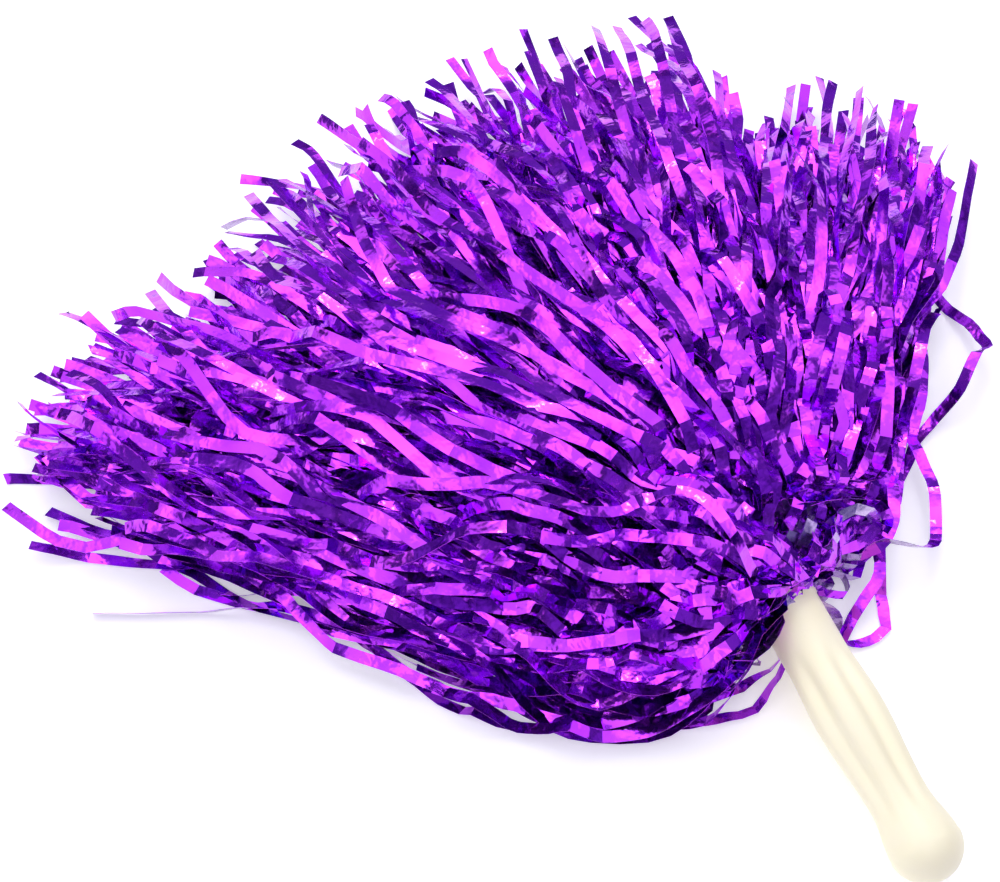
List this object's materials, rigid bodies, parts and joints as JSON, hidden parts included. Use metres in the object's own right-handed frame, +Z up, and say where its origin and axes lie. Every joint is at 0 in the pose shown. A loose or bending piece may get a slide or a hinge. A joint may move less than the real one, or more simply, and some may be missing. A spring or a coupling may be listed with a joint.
{
  "type": "cheer pom pom",
  "caption": "Cheer pom pom lying down: ivory fluted grip with a bulb end and a fan of slit purple metallised film streamers packed into its mouth.",
  "frame": {"origin": "on the surface that the pom pom lies on, under the centre of its bounding box", "axes": "+Z up; +X along the grip's heading, from its bulb towards the streamers; +Y to the left of the grip, across the fan"},
  "size_m": [0.4032, 0.4454, 0.0713],
  "materials": {
    "ivory_plastic": "satin",
    "purple_film": "gloss",
    "plug_plastic": "matte",
    "band_tape": "satin"
  },
  "bodies": {
    "handle": {"handle_shell": "ivory_plastic", "wedge_plug": "plug_plastic", "binding_band": "band_tape", "film_header_01": "purple_film", "film_header_02": "purple_film", "film_header_03": "purple_film", "film_header_04": "purple_film", "film_header_05": "purple_film", "film_header_06": "purple_film", "film_header_07": "purple_film", "film_header_08": "purple_film", "film_header_09": "purple_film", "film_header_10": "purple_film", "film_header_11": "purple_film", "film_header_12": "purple_film"},
    "bunch_01": {"streamers_01": "purple_film"},
    "bunch_02": {"streamers_02": "purple_film"},
    "bunch_03": {"streamers_03": "purple_film"},
    "bunch_04": {"streamers_04": "purple_film"},
    "bunch_05": {"streamers_05": "purple_film"},
    "bunch_06": {"streamers_06": "purple_film"},
    "bunch_07": {"streamers_07": "purple_film"},
    "bunch_08": {"streamers_08": "purple_film"},
    "bunch_09": {"streamers_09": "purple_film"},
    "bunch_10": {"streamers_10": "purple_film"},
    "bunch_11": {"streamers_11": "purple_film"},
    "bunch_12": {"streamers_12": "purple_film"}
  },
  "joints": [
    {"name": "lift_01", "type": "hinge", "parent": "handle", "child": "bunch_01", "pos_m": [-0.09101, -0.02945, 0.02191], "axis": [-0.866, -0.5, 0], "range_deg": [0, 30]},
    {"name": "lift_02", "type": "hinge", "parent": "handle", "child": "bunch_02", "pos_m": [-0.09101, -0.02945, 0.02191], "axis": [-0.7193, -0.6947, 0], "range_deg": [0, 30]},
    {"name": "lift_03", "type": "hinge", "parent": "handle", "child": "bunch_03", "pos_m": [-0.09101, -0.02945, 0.02191], "axis": [-0.5299, -0.848, 0], "range_deg": [0, 30]},
    {"name": "lift_04", "type": "hinge", "parent": "handle", "child": "bunch_04", "pos_m": [-0.09101, -0.02945, 0.02191], "axis": [-0.309, -0.9511, 0], "range_deg": [0, 30]},
    {"name": "lift_05", "type": "hinge", "parent": "handle", "child": "bunch_05", "pos_m": [-0.09101, -0.02945, 0.02191], "axis": [-0.0698, -0.9976, 0], "range_deg": [0, 30]},
    {"name": "lift_06", "type": "hinge", "parent": "handle", "child": "bunch_06", "pos_m": [-0.09101, -0.02945, 0.02191], "axis": [0.1736, -0.9848, 0], "range_deg": [0, 30]},
    {"name": "lift_07", "type": "hinge", "parent": "handle", "child": "bunch_07", "pos_m": [-0.09101, -0.02945, 0.02191], "axis": [0.4067, -0.9135, 0], "range_deg": [0, 30]},
    {"name": "lift_08", "type": "hinge", "parent": "handle", "child": "bunch_08", "pos_m": [-0.09101, -0.02945, 0.02191], "axis": [0.6157, -0.788, 0], "range_deg": [0, 30]},
    {"name": "lift_09", "type": "hinge", "parent": "handle", "child": "bunch_09", "pos_m": [-0.09101, -0.02945, 0.02191], "axis": [0.788, -0.6157, 0], "range_deg": [0, 30]},
    {"name": "lift_10", "type": "hinge", "parent": "handle", "child": "bunch_10", "pos_m": [-0.09101, -0.02945, 0.02191], "axis": [0.9135, -0.4067, 0], "range_deg": [0, 30]},
    {"name": "lift_11", "type": "hinge", "parent": "handle", "child": "bunch_11", "pos_m": [-0.09101, -0.02945, 0.02191], "axis": [0.9848, -0.1736, 0], "range_deg": [0, 30]},
    {"name": "lift_12", "type": "hinge", "parent": "handle", "child": "bunch_12", "pos_m": [-0.09101, -0.02945, 0.02191], "axis": [0.9976, 0.0698, 0], "range_deg": [0, 30]}
  ]
}
